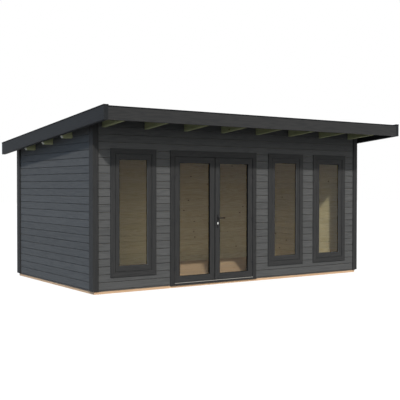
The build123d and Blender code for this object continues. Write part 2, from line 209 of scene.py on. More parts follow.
def timber(name, pale, dark, roughness, grain="board", knots=0.0, knot=None, contrast=0.6,
           tone=0.2, relief=0.0004, specular=0.2):
    """Wood or painted wood. knots is the share of knot cells that are kept, knot their colour."""
    material, tree, shader = start_material(name)
    space = grain_space(tree, grain)
    fibres = stretched(tree, space, *fibre_waves, 3, 0.7)
    flow = stretched(tree, space, *band_waves, 2)
    cells = multiplied(tree, space, knot_grid)
    knot_cells = put(tree, "TexVoronoi", {"Vector": cells, "Scale": 1.0}).outputs
    chance = put(tree, "SeparateColor", {0: knot_cells["Color"]}).outputs[0]
    kept = reckon(tree, "LESS_THAN", chance, knots)
    near = reckon(tree, "MULTIPLY", ease(tree, knot_cells["Distance"], *knot_reach), kept)
    waves = reckon(tree, "ADD", reckon(tree, "MULTIPLY", flow, band_turns),
                   reckon(tree, "MULTIPLY", near, knot_turns))
    bands = ease(tree, reckon(tree, "SINE", waves), -0.6, 1.0)
    mixed = reckon(tree, "ADD", reckon(tree, "MULTIPLY", bands, band_share),
                   reckon(tree, "MULTIPLY", fibres, fibre_share))
    colour = tint(tree, reckon(tree, "MULTIPLY", mixed, contrast), pale, dark)
    if knots:
        heart = reckon(tree, "MULTIPLY", ease(tree, knot_cells["Distance"], *heart_reach), kept)
        colour = tint(tree, reckon(tree, "MULTIPLY", heart, heart_depth), colour, knot)
    if grain == "board":
        chances = put(tree, "SeparateXYZ", {0: put(tree, "UVMap", uv_map="plank").outputs[0]}).outputs
        value = spread(tree, chances[0], tone)
        richness = spread(tree, chances[1], tone)
    else:
        value = spread(tree, stretched(tree, space, *patch_waves, 1), tone)
        richness = 1.0
    shade = put(tree, "HueSaturation", {"Color": colour, "Value": value, "Saturation": richness})
    gloss = spread(tree, fibres, fibre_gloss, roughness)
    height = reckon(tree, "ADD", reckon(tree, "MULTIPLY", bands, groove_share), fibres)
    bump = put(tree, "Bump", {"Strength": 1.0, "Distance": relief, "Height": height})
    feed(tree, shader, {"Base Color": shade.outputs[0], "Roughness": gloss, "Normal": bump.outputs[0],
                        "Specular IOR Level": specular})
    return material


# %% [markdown]
# ## Finishes of the woodwork
# The walls are painted a shade lighter than the frames, corner boards and fascias. Inside
# everything is bare pine. The ground joists are untreated, and the rafters and outriggers are
# green from pressure treatment. The outriggers' ends are paler: partly pale sawn end grain, partly
# a painted highlight where light catches them. The rear corner boards and the verge beams have
# darker paint, which is painted shade.

# %% Wood finishes
def dark_paint(name, pale, dark, grain="board"):
    """Dark paint on planed wood."""
    return timber(name, pale, dark, 0.62, grain=grain, tone=0.08, contrast=0.8, specular=0.1)


wall_paint = timber("wall_paint", (94, 95, 95), (80, 81, 82), 0.72, tone=0.12, contrast=0.8,
                    specular=0.06)
trim_paint = dark_paint("trim_paint", (60, 60, 60), (48, 49, 50))
fascia_paint = dark_paint("fascia_paint", (60, 60, 60), (48, 49, 50), "x")
upright_paint = dark_paint("upright_paint", (56, 56, 56), (45, 46, 47), "z")
# The verge beams' darker paint is painted shade.
verge_painted_shade = dark_paint("verge_painted_shade", (42, 44, 46), (34, 36, 38), "y")
# The rear corner boards' darker paint is painted shade.
rear_painted_shade = dark_paint("rear_painted_shade", (46, 46, 47), (37, 38, 39), "z")
bare_pine = timber("bare_pine", (199, 187, 151), (169, 149, 111), 0.6, knots=0.3, knot=(84, 48, 26),
                   tone=0.08)
floor_pine = timber("floor_pine", (220, 189, 156), (184, 149, 118), 0.5, knots=0.16,
                    knot=(94, 58, 32), tone=0.12)
roof_pine = timber("roof_pine", (98, 97, 80), (78, 76, 60), 0.7, knots=0.14, knot=(70, 50, 32),
                   tone=0.2)
joist_pine = {
    axis: timber("joist_pine_" + axis, (224, 190, 156), (194, 154, 118), 0.7, grain=axis, knots=0.2,
                 knot=(120, 80, 48))
    for axis in "xy"
}
treated_pine = {
    axis: timber("treated_pine_" + axis, (178, 182, 142), (142, 146, 108), 0.7, grain=axis,
                 knots=0.15, knot=(84, 72, 40))
    for axis in "xy"
}
end_slant = 0.3


def paler_end_grain_and_highlight(material, colour):
    """Give the faces whose normal leans along X by more than the slant another colour: paler end grain,
    and also a painted highlight.
    """
    tree = material.node_tree
    shader = tree.nodes["Principled BSDF"]
    normal = put(tree, "SeparateXYZ", {0: put(tree, "TexCoord").outputs["Normal"]}).outputs
    facing = reckon(tree, "GREATER_THAN", reckon(tree, "ABSOLUTE", normal[0]), end_slant)
    plain = shader.inputs["Base Color"].links[0].from_socket
    feed(tree, shader, {"Base Color": tint(tree, facing, plain, colour)})


# The pale colour on the outriggers' ends is paler end grain and a painted highlight where light catches
# them.
paler_end_grain_and_highlight(treated_pine["x"], (218, 215, 198))
print("wood finishes:", len(bpy.data.materials) - cad_finishes)

# %% [markdown]
# ## Metals, rubber and roofing sheet
# Coated metal is a dark colour with a fine mottled gloss, and bare metal shows faint streaks in
# the direction in which it was drawn. The roofing sheet has mineral grains pressed in, so it is
# speckled, with a coarse bump.

# %% Other finishes
metal_depth = 0.8
metal_gloss = 0.2
broad_waves = 1.6


def metal(name, colour, roughness, metallic, streaks, specular=0.5):
    """Metal with a stretched noise in its gloss; streaks are its waves a metre along X, Y and Z."""
    material, tree, shader = start_material(name)
    scaled = multiplied(tree, put(tree, "TexCoord").outputs["Object"], streaks)
    noise = put(tree, "TexNoise", {"Vector": scaled, "Scale": 1.0, "Detail": 3.0}).outputs["Fac"]
    shade = tint(tree, noise, colour, [part * metal_depth for part in colour])
    gloss = spread(tree, noise, metal_gloss, roughness)
    bump = put(tree, "Bump", {"Strength": 0.5, "Distance": 0.0001, "Height": noise})
    feed(tree, shader, {"Base Color": shade, "Roughness": gloss, "Metallic": metallic,
                        "Specular IOR Level": specular, "Normal": bump.outputs[0]})
    return material


def speckled(name, ground, grains, size, relief, roughness, specular=0.2):
    """Sheet with grains of another colour pressed in; size is the grains' size in metres."""
    material, tree, shader = start_material(name)
    point = put(tree, "TexCoord").outputs["Object"]
    cells = put(tree, "TexVoronoi", {"Vector": point, "Scale": 1 / size})
    broad = put(tree, "TexNoise", {"Vector": point, "Scale": broad_waves, "Detail": 4.0}).outputs["Fac"]
    chance = put(tree, "SeparateColor", {0: cells.outputs["Color"]}).outputs[0]
    share = reckon(tree, "MULTIPLY", ease(tree, chance, 0.5, 1.0), broad)
    bump = put(tree, "Bump", {"Distance": relief, "Height": cells.outputs["Distance"]})
    feed(tree, shader, {"Base Color": tint(tree, share, ground, grains), "Roughness": roughness,
                        "Specular IOR Level": specular, "Normal": bump.outputs[0]})
    return material


sill_aluminium = metal("sill_aluminium", (176, 174, 168), 0.5, 1.0, (6, 300, 300))
hinge_coat = metal("hinge_coat", (50, 50, 52), 0.55, 0.0, (120, 120, 120), 0.15)
handle_coat = metal("handle_coat", (26, 26, 28), 0.45, 0.0, (120, 120, 120), 0.2)
lock_nickel = metal("lock_nickel", (244, 243, 238), 0.22, 1.0, (200, 200, 200))
roof_sheet = speckled("roof_sheet", (24, 25, 27), (52, 54, 57), 0.004, 0.0006, 0.9, 0.08)
seal_rubber = speckled("seal_rubber", (14, 14, 15), (24, 24, 25), 0.002, 0.0001, 0.7, 0.03)

# %% [markdown]
# ## Glass
# A pane is a closed sheet that bends and reflects light. For shadow rays and diffuse rays it is
# simply transparent, so that lamps and studio light the room. The reflection is kept low, because
# the whole white studio mirrors in it. The doors' glass has a darker cast, a painted shade for the
# dimmer room seen behind them.

# %% Glass
glass_bend = 1.25
pane_cast = (250, 252, 250)


def clear_glass(name, cast):
    """Glass with a faint cast that lets lamps shine through."""
    material, tree, shader = start_material(name)
    feed(tree, shader, {"Base Color": paint(cast), "Roughness": 0.0, "Transmission Weight": 1.0,
                        "IOR": glass_bend})
    open_pane = put(tree, "BsdfTransparent", {"Color": paint(pane_cast)})
    ray = put(tree, "LightPath").outputs
    passing = reckon(tree, "MAXIMUM", ray["Is Shadow Ray"], ray["Is Diffuse Ray"])
    mix = put(tree, "MixShader", {0: passing, 1: shader.outputs[0], 2: open_pane.outputs[0]})
    feed(tree, tree.nodes["Material Output"], {"Surface": mix.outputs[0]})
    return material


window_glass = clear_glass("window_glass", (247, 250, 248))
# The door glass's darker cast is painted shade for the dimmer room behind it.
door_glass = clear_glass("door_glass", (237, 237, 235))

# %% [markdown]
# ## Pieces and profiles
# Every new piece is a mesh from whole arrays and rides on a body of the frame. A profile is a
# list of corners in a plane, such as a rectangle with its arrises off.

# %% Helpers for pieces and profiles
def add_piece(name, points, faces, finishes, face_finish, maps):
    """Mesh object from whole arrays. maps gives each face corner's place in named UV maps."""
    mesh = bpy.data.meshes.new(name)
    mesh.from_pydata(points.reshape(-1, 3).tolist(), [], faces)
    for map_name, places in maps.items():
        layer = mesh.uv_layers.new(name=map_name)
        layer.data.foreach_set("uv", places.astype(np.float32).ravel())
    for finish in finishes:
        mesh.materials.append(finish)
    mesh.polygons.foreach_set("material_index", face_finish.astype(np.int32))
    mesh.update()
    piece = bpy.data.objects.new(name, mesh)
    scene.collection.objects.link(piece)
    return piece


def mount(piece, body):
    """Let a piece move with a body."""
    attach(piece, body)


def eased(size, arris):
    """Eight-point profile of a rectangle with its four arrises taken off; size is (..., 2)."""
    share = np.array([[0, 0], [1, 0], [1, 0], [1, 1], [1, 1], [0, 1], [0, 1], [0, 0]])
    offset = np.array([[1, 0], [-1, 0], [0, 1], [0, -1], [-1, 0], [1, 0], [0, -1], [0, 1]])
    return share * np.asarray(size, float)[..., None, :] + offset * arris


def square_edged(size):
    """Four-point profile of a plain rectangle."""
    return np.array([[0, 0], [1, 0], [1, 1], [0, 1]]) * np.asarray(size, float)[..., None, :]


# %% [markdown]
# ## Boards as profiles carried along a line
# A board, a beam or a batten is one profile carried straight from a start to an end. `planks`
# does this for a whole stack at once. The profile's two directions need not be square to the
# line, so the same function makes rafters with upright ends.

# %% Helpers: planks and strip
map_spread = 50


def planks(name, section, starts, ends, across, upward, finishes, edge_finish=None, seed=1):
    """Carry a profile from each start to each end. Corner = start or end + a * across + b * upward.
    The grain map has the distance along the board as U and the way round the profile as V."""
    starts = np.atleast_2d(np.asarray(starts, float))
    ends = np.atleast_2d(np.asarray(ends, float))
    count = len(starts)
    section = np.broadcast_to(section, (count, *np.shape(section)[-2:]))
    corners = section.shape[1]
    edge_finish = np.zeros(corners, int) if edge_finish is None else np.asarray(edge_finish)
    following = np.roll(section, -1, axis=1)
    area = (section[0, :, 0] * following[0, :, 1] - following[0, :, 0] * section[0, :, 1]).sum()
    if area * np.dot(np.cross(across, upward), (ends - starts)[0]) < 0:
        section = section[:, ::-1]
        edge_finish = np.roll(edge_finish[::-1], -1)
        following = np.roll(section, -1, axis=1)
    shift = section[..., :1] * np.asarray(across, float) + section[..., 1:] * np.asarray(upward, float)
    points = np.stack([starts[:, None] + shift, ends[:, None] + shift], axis=1)

    index = np.arange(count * 2 * corners).reshape(count, 2, corners)
    after = np.roll(index, -1, axis=2)
    sides = np.stack([index[:, 0], after[:, 0], after[:, 1], index[:, 1]], axis=-1).reshape(-1, 4)
    caps = np.concatenate([index[:, 0, ::-1], index[:, 1]])

    rng = np.random.default_rng(seed)
    offset = rng.uniform(0, map_spread, (count, 1, 2))
    length = np.linalg.norm(ends - starts, axis=1)[:, None]
    edge = np.linalg.norm(following - section, axis=2)
    high = np.cumsum(edge, axis=1)
    low = high - edge
    near, far = np.zeros_like(edge), np.broadcast_to(length, edge.shape)
    side_map = np.stack([near, low, near, high, far, high, far, low], axis=-1)
    side_map = side_map.reshape(count, corners, 4, 2)
    cap_map = np.concatenate([section[:, ::-1] + offset, section + offset])
    grain = np.concatenate([(side_map + offset[:, None]).reshape(-1, 2), cap_map.reshape(-1, 2)])
    chance = rng.uniform(0, 1, (count, 2))
    plank = np.concatenate([np.repeat(chance, corners * 4, axis=0),
                            np.repeat(np.concatenate([chance, chance]), corners, axis=0)])
    face_finish = np.concatenate([np.tile(edge_finish, count), np.zeros(2 * count, int)])
    return add_piece(name, points, sides.tolist() + caps.tolist(), finishes, face_finish,
                     {"grain": grain, "plank": plank})


def strip(name, section, starts, run, across, upward, finish, body, seed=1):
    """Profile carried from each start by one run, and mounted."""
    starts = np.asarray(starts, float)
    piece = planks(name, section, starts, starts + run, across, upward, [finish], seed=seed)
    mount(piece, body)
    return piece


# %% [markdown]
# ## Cutting openings
# The wall boards are carried over the full length first and cut afterwards, as a saw would. A
# Boolean modifier takes the cutter out of the piece, and its result becomes the mesh.

# %% Helpers to cut
def cut(piece, cutter):
    """Take the cutter's solid out of the piece, keep the result as its mesh and delete the cutter."""
    saw = piece.modifiers.new("cut", "BOOLEAN")
    saw.operation = "DIFFERENCE"
    saw.solver = "EXACT"
    saw.object = cutter
    shape = piece.evaluated_get(bpy.context.evaluated_depsgraph_get())
    mesh = bpy.data.meshes.new_from_object(shape, preserve_all_data_layers=True,
                                           depsgraph=bpy.context.evaluated_depsgraph_get())
    piece.modifiers.clear()
    piece.data = mesh
    bpy.data.objects.remove(cutter)
    return piece


def box_cutter(low, high):
    """Block between two corners, to cut with."""
    size = (high[0] - low[0], high[2] - low[2])
    return planks("cutter", square_edged(size), low, (low[0], high[1], low[2]), x_axis, z_axis, [])


# %% [markdown]
# ## Places taken from the frame
# Every place below comes from the CAD nodes' own boxes, so the new pieces sit where the plain
# ones were. The roof is a plane that falls from the front to the back.

# %% Places
def box(node):
    """Lowest and highest corner of a CAD node as two arrays."""
    low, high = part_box(node)
    return np.array(low), np.array(high)


roof_angle = 4.9
slope = math.tan(math.radians(roof_angle))
plumb = math.hypot(1, slope)
deck_low, deck_high = box("roof_deck")
wall_low = box("rear_wall")[0]
beam_width = 0.070
beam_height = 0.145
outrigger_drop = 0.070
rafter_count = 8
outrigger_count = 3
x_axis, y_axis, z_axis = np.eye(3)
down_slope = np.array([0, 1, -slope])


def deck_z(y):
    """Height of the underside of the roof deck at a distance y."""
    return deck_low[2] + (deck_high[1] - y) * slope


print(f"deck at the front edge {deck_z(deck_low[1]):.3f} m up")

# %% [markdown]
# ## Cutters for the roof's timbers
# Rafters rest in notches in the front and rear walls, outriggers pass through the side walls,
# and no wall stands higher than the deck. Each cutter reaches well past what it cuts.

# %% Cutters
cutter_reach = 4.0
cutter_front = -3.0
notch_height = 1.0
above_deck = (6.0, 2.0)


def rafter_cutter():
    """The rafters' bars with upright ends, to notch a wall round them."""
    low, high = box("rafters")
    lefts = np.linspace(low[0], high[0] - beam_width, rafter_count)[:, None] * x_axis
    starts, ends = (lefts + [0, y, deck_z(y) - beam_height * plumb] for y in (low[1], high[1]))
    return planks("cutter", square_edged((beam_width, notch_height)), starts, ends, x_axis, z_axis, [])


def outrigger_cutter():
    """The outriggers' bars through both side walls."""
    low, high = box("outriggers")
    fronts = np.linspace(low[1], high[1] - beam_width, outrigger_count)
    height = beam_height * plumb
    bottoms = deck_z(fronts) - height - outrigger_drop
    starts = np.stack([np.full(outrigger_count, -cutter_reach), fronts, bottoms], axis=1)
    return planks("cutter", square_edged((beam_width, height)), starts,
                  starts + 2 * cutter_reach * x_axis, down_slope, z_axis, [])


def roof_cutter():
    """Everything above the underside of the deck."""
    start = np.array([-cutter_reach, cutter_front, deck_z(cutter_front)])
    return planks("cutter", square_edged(above_deck), start, start + 2 * cutter_reach * x_axis,
                  down_slope, z_axis, [])


# %% [markdown]
# ## Wall boards
# The walls are 44 mm boards laid on edge, each with a tongue on top, a groove below and bevels
# along both faces. The wide bevel under a board makes the dark line between two. Outside a board
# is painted, and inside it is bare pine. The row height was counted on the left wall.

# %% Wall boards
wall_thickness = 0.044
board_pitch = 0.1207
lower_bevel = 0.0095
upper_bevel = 0.003
room_bevel = 0.006
board_clearance = 0.0015
tongue_rise = 0.0085
tongue = (0.0155, 0.0285)
groove = (0.0150, 0.0290)
groove_depth = 0.0102

top, bottom = board_pitch, board_clearance
wall_profile = np.array([
    (lower_bevel, bottom), (groove[0], bottom), (groove[0], groove_depth), (groove[1], groove_depth),
    (groove[1], bottom), (wall_thickness - room_bevel, bottom), (wall_thickness, bottom + room_bevel),
    (wall_thickness, top - room_bevel), (wall_thickness - room_bevel, top), (tongue[1], top),
    (tongue[1], top + tongue_rise), (tongue[0], top + tongue_rise), (tongue[0], top),
    (upper_bevel, top), (0, top - upper_bevel), (0, bottom + lower_bevel),
])
bare_edges = [0] + [1] * 11 + [0] * 4


def wall(name, start, end, outward, seed):
    """Rows of boards from a start to an end, up past the roof, with their outer face at the start."""
    rows = math.ceil((deck_z(min(start[1], end[1])) - wall_low[2]) / board_pitch)
    lift = np.arange(rows)[:, None] * board_pitch * z_axis
    piece = planks(name, wall_profile, start + lift, end + lift, -outward, z_axis,
                   [wall_paint, bare_pine], bare_edges, seed)
    cut(piece, roof_cutter())
    mount(piece, "house")
    return piece


front_low = np.array([*box("front_wall_left")[0][:2], wall_low[2]])
front_end = np.array([box("front_wall_right")[1][0], front_low[1], wall_low[2]])
front_boards = wall("front_boards", front_low, front_end, -y_axis, 11)
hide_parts("front_wall_left", "front_wall_right", "front_wall_head")
rear_low, rear_high = box("rear_wall")
rear_start = np.array([rear_low[0], rear_high[1], wall_low[2]])
rear_end = np.array([rear_high[0], rear_high[1], wall_low[2]])
rear_boards = wall("rear_boards", rear_start, rear_end, y_axis, 12)
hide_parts("rear_wall")
for side, outward, seed in (("left", -x_axis, 13), ("right", x_axis, 14)):
    low, high = box(side + "_wall")
    face = low[0] if side == "left" else high[0]
    start, end = (np.array([face, y, wall_low[2]]) for y in (low[1], high[1]))
    piece = wall(side + "_boards", start, end, outward, seed)
    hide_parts(side + "_wall")
    cut(piece, outrigger_cutter())
for piece in (front_boards, rear_boards):
    cut(piece, rafter_cutter())
print("rear wall:", len(rear_boards.data.polygons), "faces after its notches")

# %% [markdown]
# ## Drip lips
# The lowest boards lap a little over the joists, so that rain runs off in front of them: a strip
# under each wall, flush with the boards. Under the door it belongs to the frame, stands a little
# further out and hangs lower in the frame's dark paint, which is partly painted shade for the
# shadow of the sill's nose on the joist.

# %% Drip lips
lip_drop = 0.012
apron_drop = 0.018
lip_arris = 0.002
apron_inset = 0.004
joist_face = box("front_joist")[0][1]
frame_left, frame_face = box("door_jamb_left")[0][:2]
frame_right = box("door_jamb_right")[1][0]
left, front = box("left_wall")[0][:2]
right, rear = box("right_wall")[1][:2]
bottom = wall_low[2]


def drip_lip(name, start, end, inward, size, finish, seed):
    """Strip hung from a start to an end at the boards' lower edge; size is its depth and its drop."""
    (depth, drop), a = size, lip_arris
    section = [(0, a - drop), (a, -drop), (depth, -drop), (depth, 0), (0, 0)]
    mount(planks(name, section, start, end, inward, z_axis, [finish], seed=seed), "house")


lip_size = (joist_face - front_low[1], lip_drop)
wall_runs = {
    "front_left": (front_low, (frame_left, front_low[1], bottom), y_axis),
    "front_right": ((frame_right, front_low[1], bottom), front_end, y_axis),
    "rear": (rear_start, rear_end, -y_axis),
    "left": ((left, front, bottom), (left, rear, bottom), x_axis),
    "right": ((right, front, bottom), (right, rear, bottom), -x_axis),
}
for number, (name, (start, end, inward)) in enumerate(wall_runs.items()):
    drip_lip("drip_lip_" + name, start, end, inward, lip_size, wall_paint, 91 + number)
apron_face = frame_face + apron_inset
# The door apron's dark strip over the joist is partly painted shade of the sill's nose.
drip_lip("door_apron", (frame_left, apron_face, bottom), (frame_right, apron_face, bottom), y_axis,
         (joist_face - apron_face, apron_drop), trim_paint, 96)
print(f"drip lips {lip_size[0] * 1000:.0f} mm deep and {lip_drop * 1000:.0f} mm high")

# %% [markdown]
# ## Openings in the front
# The linings of the windows and the door stand in holes through the boards, a little inside the
# outer edge of the casings, which cover the cut ends.

# %% Openings
casing_width = 0.080
casing_depth = 0.022
lining_inset = 0.045
head_height = 0.098
head_lining = 0.035
overcut = 0.1
window_names = ("left", "middle", "right")
room_face = box("front_wall_left")[1][1]
for name in window_names:
    low, high = box("window_frame_" + name)
    low = low + lining_inset * (x_axis + z_axis)
    high = high - lining_inset * (x_axis + z_axis)
    cut(front_boards, box_cutter(low - overcut * y_axis, high + overcut * y_axis))
jamb_low = box("door_jamb_left")[0] + lining_inset * x_axis
head_high = box("door_head")[1] - lining_inset * x_axis - (head_height - head_lining) * z_axis
cut(front_boards, box_cutter(jamb_low - overcut * (y_axis + z_axis), head_high + overcut * y_axis))
print("front wall", len(front_boards.data.polygons), "faces after its openings")

# %% [markdown]
# ## Mitred frames
# A casing, a sash or a leaf is a profile carried round a rectangle, which lies along the diagonal
# at each corner. Uprights and level pieces may differ in width, so a point of the profile is a
# share of that width plus an offset.

# %% Helper: mitred ring
def mitred_ring(name, low, high, front, widths, section, finish, seed):
    """Carry a profile of (share, offset, depth) round the box from low to high in X and Z.
    widths are those of the uprights and of the level pieces, and front is the profile's zero in Y."""
    share, offset, depth = np.asarray(section, float).T
    across = share[:, None] * np.asarray(widths, float) + offset[:, None]
    signs = np.array([[-1, 1], [1, 1], [1, -1], [-1, -1]])
    origin = np.array([[high[0], low[2]], [low[0], low[2]], [low[0], high[2]], [high[0], high[2]]])
    flat = origin[:, None] + signs[:, None] * across
    back = np.broadcast_to(front + depth, flat.shape[:2])
    points = np.stack([flat[..., 0], back, flat[..., 1]], axis=-1)
    corners = len(section)
    index = np.arange(4 * corners).reshape(4, corners)
    after, following = np.roll(index, -1, axis=1), np.roll(index, -1, axis=0)
    faces = np.stack([index, after, np.roll(following, -1, axis=1), following], axis=-1)

    flat_section = np.stack([across[:, 0], depth], axis=1)
    edge = np.linalg.norm(np.roll(flat_section, -1, axis=0) - flat_section, axis=1)
    far = np.cumsum(edge)
    near = far - edge
    way = np.array([[-1, 0, 0], [0, 0, 1], [1, 0, 0], [0, 0, -1]], float)
    along = np.einsum("jkcx,jx->jkc", points.reshape(-1, 3)[faces], way)
    around = np.stack([near, far, far, near], axis=-1)
    rng = np.random.default_rng(seed)
    offset_map = rng.uniform(0, map_spread, (4, 1, 1, 2))
    grain = np.stack([along, np.broadcast_to(around, along.shape)], axis=-1) + offset_map
    plank = np.broadcast_to(rng.uniform(0, 1, (4, 1, 1, 2)), grain.shape)
    return add_piece(name, points, faces.reshape(-1, 4).tolist(), [finish], np.zeros(4 * corners),
                     {"grain": grain, "plank": plank})


# %% [markdown]
# ## Windows and door leaves
# A window is a casing and lining in one ring, a fixed sash a little behind its face, and a pane
# in a groove. Round each pane runs a black rubber seal, and in the windows a paler glazing bead
# lines the reveal in front of it. The leaves are made like the sashes, only wider, and their seal
# fills the reveal. `rail` is the profile of both, with a bevel towards the glass and a groove.

# %% Windows and leaves
frame_arris = 0.003
frame_bevel = 0.006
glass_setback = 0.028
glass_thickness = 0.006
glass_rebate = 0.010
sash_depth = 0.044
sash_recess = 0.005
sash_widths = np.array([0.073, 0, 0.085])
leaf_widths = np.array([0.097, 0, 0.099])
stop_depth = 0.012
sash_seal = (0.014, 0.006, 0.0025)
leaf_seal = (0.016, 0.004, 0.020)
bead_width = 0.002
bead_depth = 0.020
shadow_gap = 0.004
seal_lead = 0.4
pane_front, pane_back = glass_setback, glass_setback + glass_thickness
rail = [
    (0, frame_arris, 0), (1, -frame_bevel, 0), (1, 0, frame_bevel), (1, 0, pane_front),
    (1, -glass_rebate, pane_front), (1, -glass_rebate, pane_back), (1, 0, pane_back),
    (1, 0, sash_depth), (0, 0, sash_depth), (0, 0, frame_arris),
]


def window_frame(name, seed):
    """Casing and lining of one window, with the stop that the sash stands against."""
    low, high = box("window_frame_" + name)
    depth = high[1] - low[1]
    stop = sash_recess + sash_depth
    a, w, s = frame_arris, casing_width, casing_width + stop_depth
    section = [(0, a, 0), (0, w - a, 0), (0, w, a), (0, w, stop), (0, s, stop), (0, s, depth),
               (0, lining_inset, depth), (0, lining_inset, casing_depth), (0, 0, casing_depth), (0, 0, a)]
    piece = mitred_ring("window_casing_" + name, low, high, low[1], (1, 1), section, trim_paint, seed)
    mount(piece, "house")
    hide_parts("window_frame_" + name)


def glazed(name, node, widths, seal, body, seed):
    """Sash or leaf round one pane, with a shadow line beside it, and the seal in front of the pane.
    widths are the uprights' and the level pieces' in X and Z. seal is the seal's two widths and how
    far it stands out from the glass."""
    low, high = box(node)
    gap = shadow_gap * x_axis
    piece = mitred_ring(name, low + gap, high - gap, low[1], (widths - gap)[[0, 2]], rail,
                        trim_paint, seed)
    mount(piece, body)
    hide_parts(node)
    lining = [(0, 0, 0), (seal_lead, 0, 0), (1, 0, seal[2]), (0, 0, seal[2])]
    rubber = mitred_ring(name + "_seal", low + widths, high - widths, low[1] + glass_setback - seal[2],
                         seal[:2], lining, seal_rubber, seed)
    mount(rubber, body)


def glazing_bead(name, seed):
    """Thin strip along the reveal of a sash, between its bevel and the seal."""
    low, high = box("window_sash_" + name)
    w, d = bead_width, bead_depth
    section = [(0, 0, 0), (0, w, w), (0, w, d), (0, 0, d)]
    bead = mitred_ring("glazing_bead_" + name, low + sash_widths, high - sash_widths,
                       low[1] + frame_bevel, (1, 1), section, wall_paint, seed)
    mount(bead, "house")


for number, name in enumerate(window_names):
    window_frame(name, 20 + number)
    glazing_bead(name, 80 + number)
    glazed("sash_" + name, "window_sash_" + name, sash_widths, sash_seal, "house", 30 + number)
for number, name in enumerate(("left", "right")):
    glazed("leaf_" + name, "door_leaf_" + name, leaf_widths, leaf_seal, name + "_leaf", 40 + number)
print(f"panes {glass_setback * 1000:.0f} mm behind the faces of sashes and leaves")

# %% [markdown]
# ## Casings on the room side
# Inside, flat pine boards cover the joint between wall and lining: a ring round each window, and
# two uprights with a head round the door.

# %% Room-side casings
inner_width = 0.060
inner_depth = 0.016
inner_inset = casing_width - inner_width + stop_depth
for number, name in enumerate(window_names):
    low, high = box("window_frame_" + name)
    low, high = low + inner_inset, high - inner_inset
    a, w, d = frame_arris, inner_width, inner_depth
    section = [(0, 0, 0), (0, w, 0), (0, w, d - a), (0, w - a, d), (0, a, d), (0, 0, d - a)]
    piece = mitred_ring("room_casing_" + name, low, high, room_face, (1, 1), section, bare_pine,
                        50 + number)
    mount(piece, "house")
floor_low, floor_high = box("floor")
door_left = box("door_jamb_left")[0][0] + inner_inset
door_right = box("door_jamb_right")[1][0] - inner_inset
casing_top = box("door_head")[1][2] - head_height - stop_depth + inner_width
uprights = [(x, room_face, floor_high[2]) for x in (door_left, door_right - inner_width)]
strip("room_casing_door_sides", eased((inner_width, inner_depth), frame_arris), uprights,
      (casing_top - inner_width - floor_high[2]) * z_axis, x_axis, y_axis, bare_pine, "house",
      53)
head = strip("room_casing_door_head", eased((inner_depth, inner_width), frame_arris),
             (door_left, room_face, casing_top - inner_width), (door_right - door_left) * x_axis,
             y_axis, z_axis, bare_pine, "house", 54)
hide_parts("inner_casings")
print(f"door casing on the room side up to {casing_top:.3f} m")

# %% [markdown]
# ## Floor and roof deck
# Both are narrow boards laid side by side, and each row breaks once. The deck boards lie square
# to the roof slope, with their bevels underneath, where they show between the rafters.

# %% Floor and roof deck
board_gap = 0.0008
break_range = (0.25, 0.75)
floor_rows = 26
floor_arris = 0.0012
deck_rows = 42
deck_arris = 0.003
deck_thickness = 0.019


def board_rows(low, high, count, height, seed):
    """Starts and ends of rows along X that each break once, and the width of one board."""
    rng = np.random.default_rng(seed)
    pitch = (high[1] - low[1]) / count
    breaks = low[0] + (high[0] - low[0]) * rng.uniform(*break_range, count)
    y = np.repeat(low[1] + np.arange(count) * pitch, 2)
    firsts = np.stack([np.full(count, low[0]), breaks + board_gap], axis=1).ravel()
    lasts = np.stack([breaks, np.full(count, high[0])], axis=1).ravel()
    starts, ends = (np.stack([x, y, height + 0 * y], axis=1) for x in (firsts, lasts))
    print(f"{count} rows of boards, {(pitch - board_gap) * 1000:.1f} mm wide")
    return starts, ends, pitch - board_gap


starts, ends, width = board_rows(floor_low, floor_high, floor_rows, floor_low[2], 61)
thickness = floor_high[2] - floor_low[2]
floor = planks("floor_planks", eased((width, thickness), floor_arris), starts, ends, y_axis, z_axis,
               [floor_pine], seed=62)
mount(floor, "house")
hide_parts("floor")

starts, ends, width = board_rows(deck_low, deck_high, deck_rows, 0, 63)
starts[:, 2] = deck_z(starts[:, 1])
ends[:, 2] = deck_z(ends[:, 1])
square_up = np.array([0, slope, 1]) / plumb
deck = planks("deck_planks", eased((width, deck_thickness), deck_arris), starts, ends,
              down_slope / plumb, square_up, [roof_pine], seed=64)
mount(deck, "house")
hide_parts("roof_deck")

# %% [markdown]
# ## Laps of the roofing sheet
# The sheet comes in strips about a metre wide that overlap down the slope. Each lap shows as a
# low step on top of the roof.

# %% Roofing laps
lap_width = 0.10
lap_height = 0.002
lap_arris = 0.0008
lap_pitch = 0.95
lap_count = 6
sheet_thickness = 0.004
sheet_top = (deck_thickness + sheet_thickness) * plumb
laps = (np.arange(lap_count) - (lap_count - 1) / 2) * lap_pitch
front_edge = np.array([0, deck_low[1], deck_z(deck_low[1]) + sheet_top])
run = (deck_high[1] - deck_low[1]) * down_slope
strip("roof_laps", eased((lap_width, lap_height), lap_arris), laps[:, None] * x_axis + front_edge, run,
      x_axis, z_axis, roof_sheet, "house", 71)
print(f"laps {np.linalg.norm(run):.2f} m long down the slope")

# %% [markdown]
# ## Finishes for the pieces that keep their CAD shape
# The grain of each follows one axis: corner boards and jambs stand, the head, fascias, outriggers
# and long joists run along X, and the others from front to back.

# %% Finishes on CAD nodes
def dress(finish, *nodes):
    """Give CAD nodes their finish."""
    for node in nodes:
        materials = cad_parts[node].data.materials
        materials.clear()
        materials.append(finish)


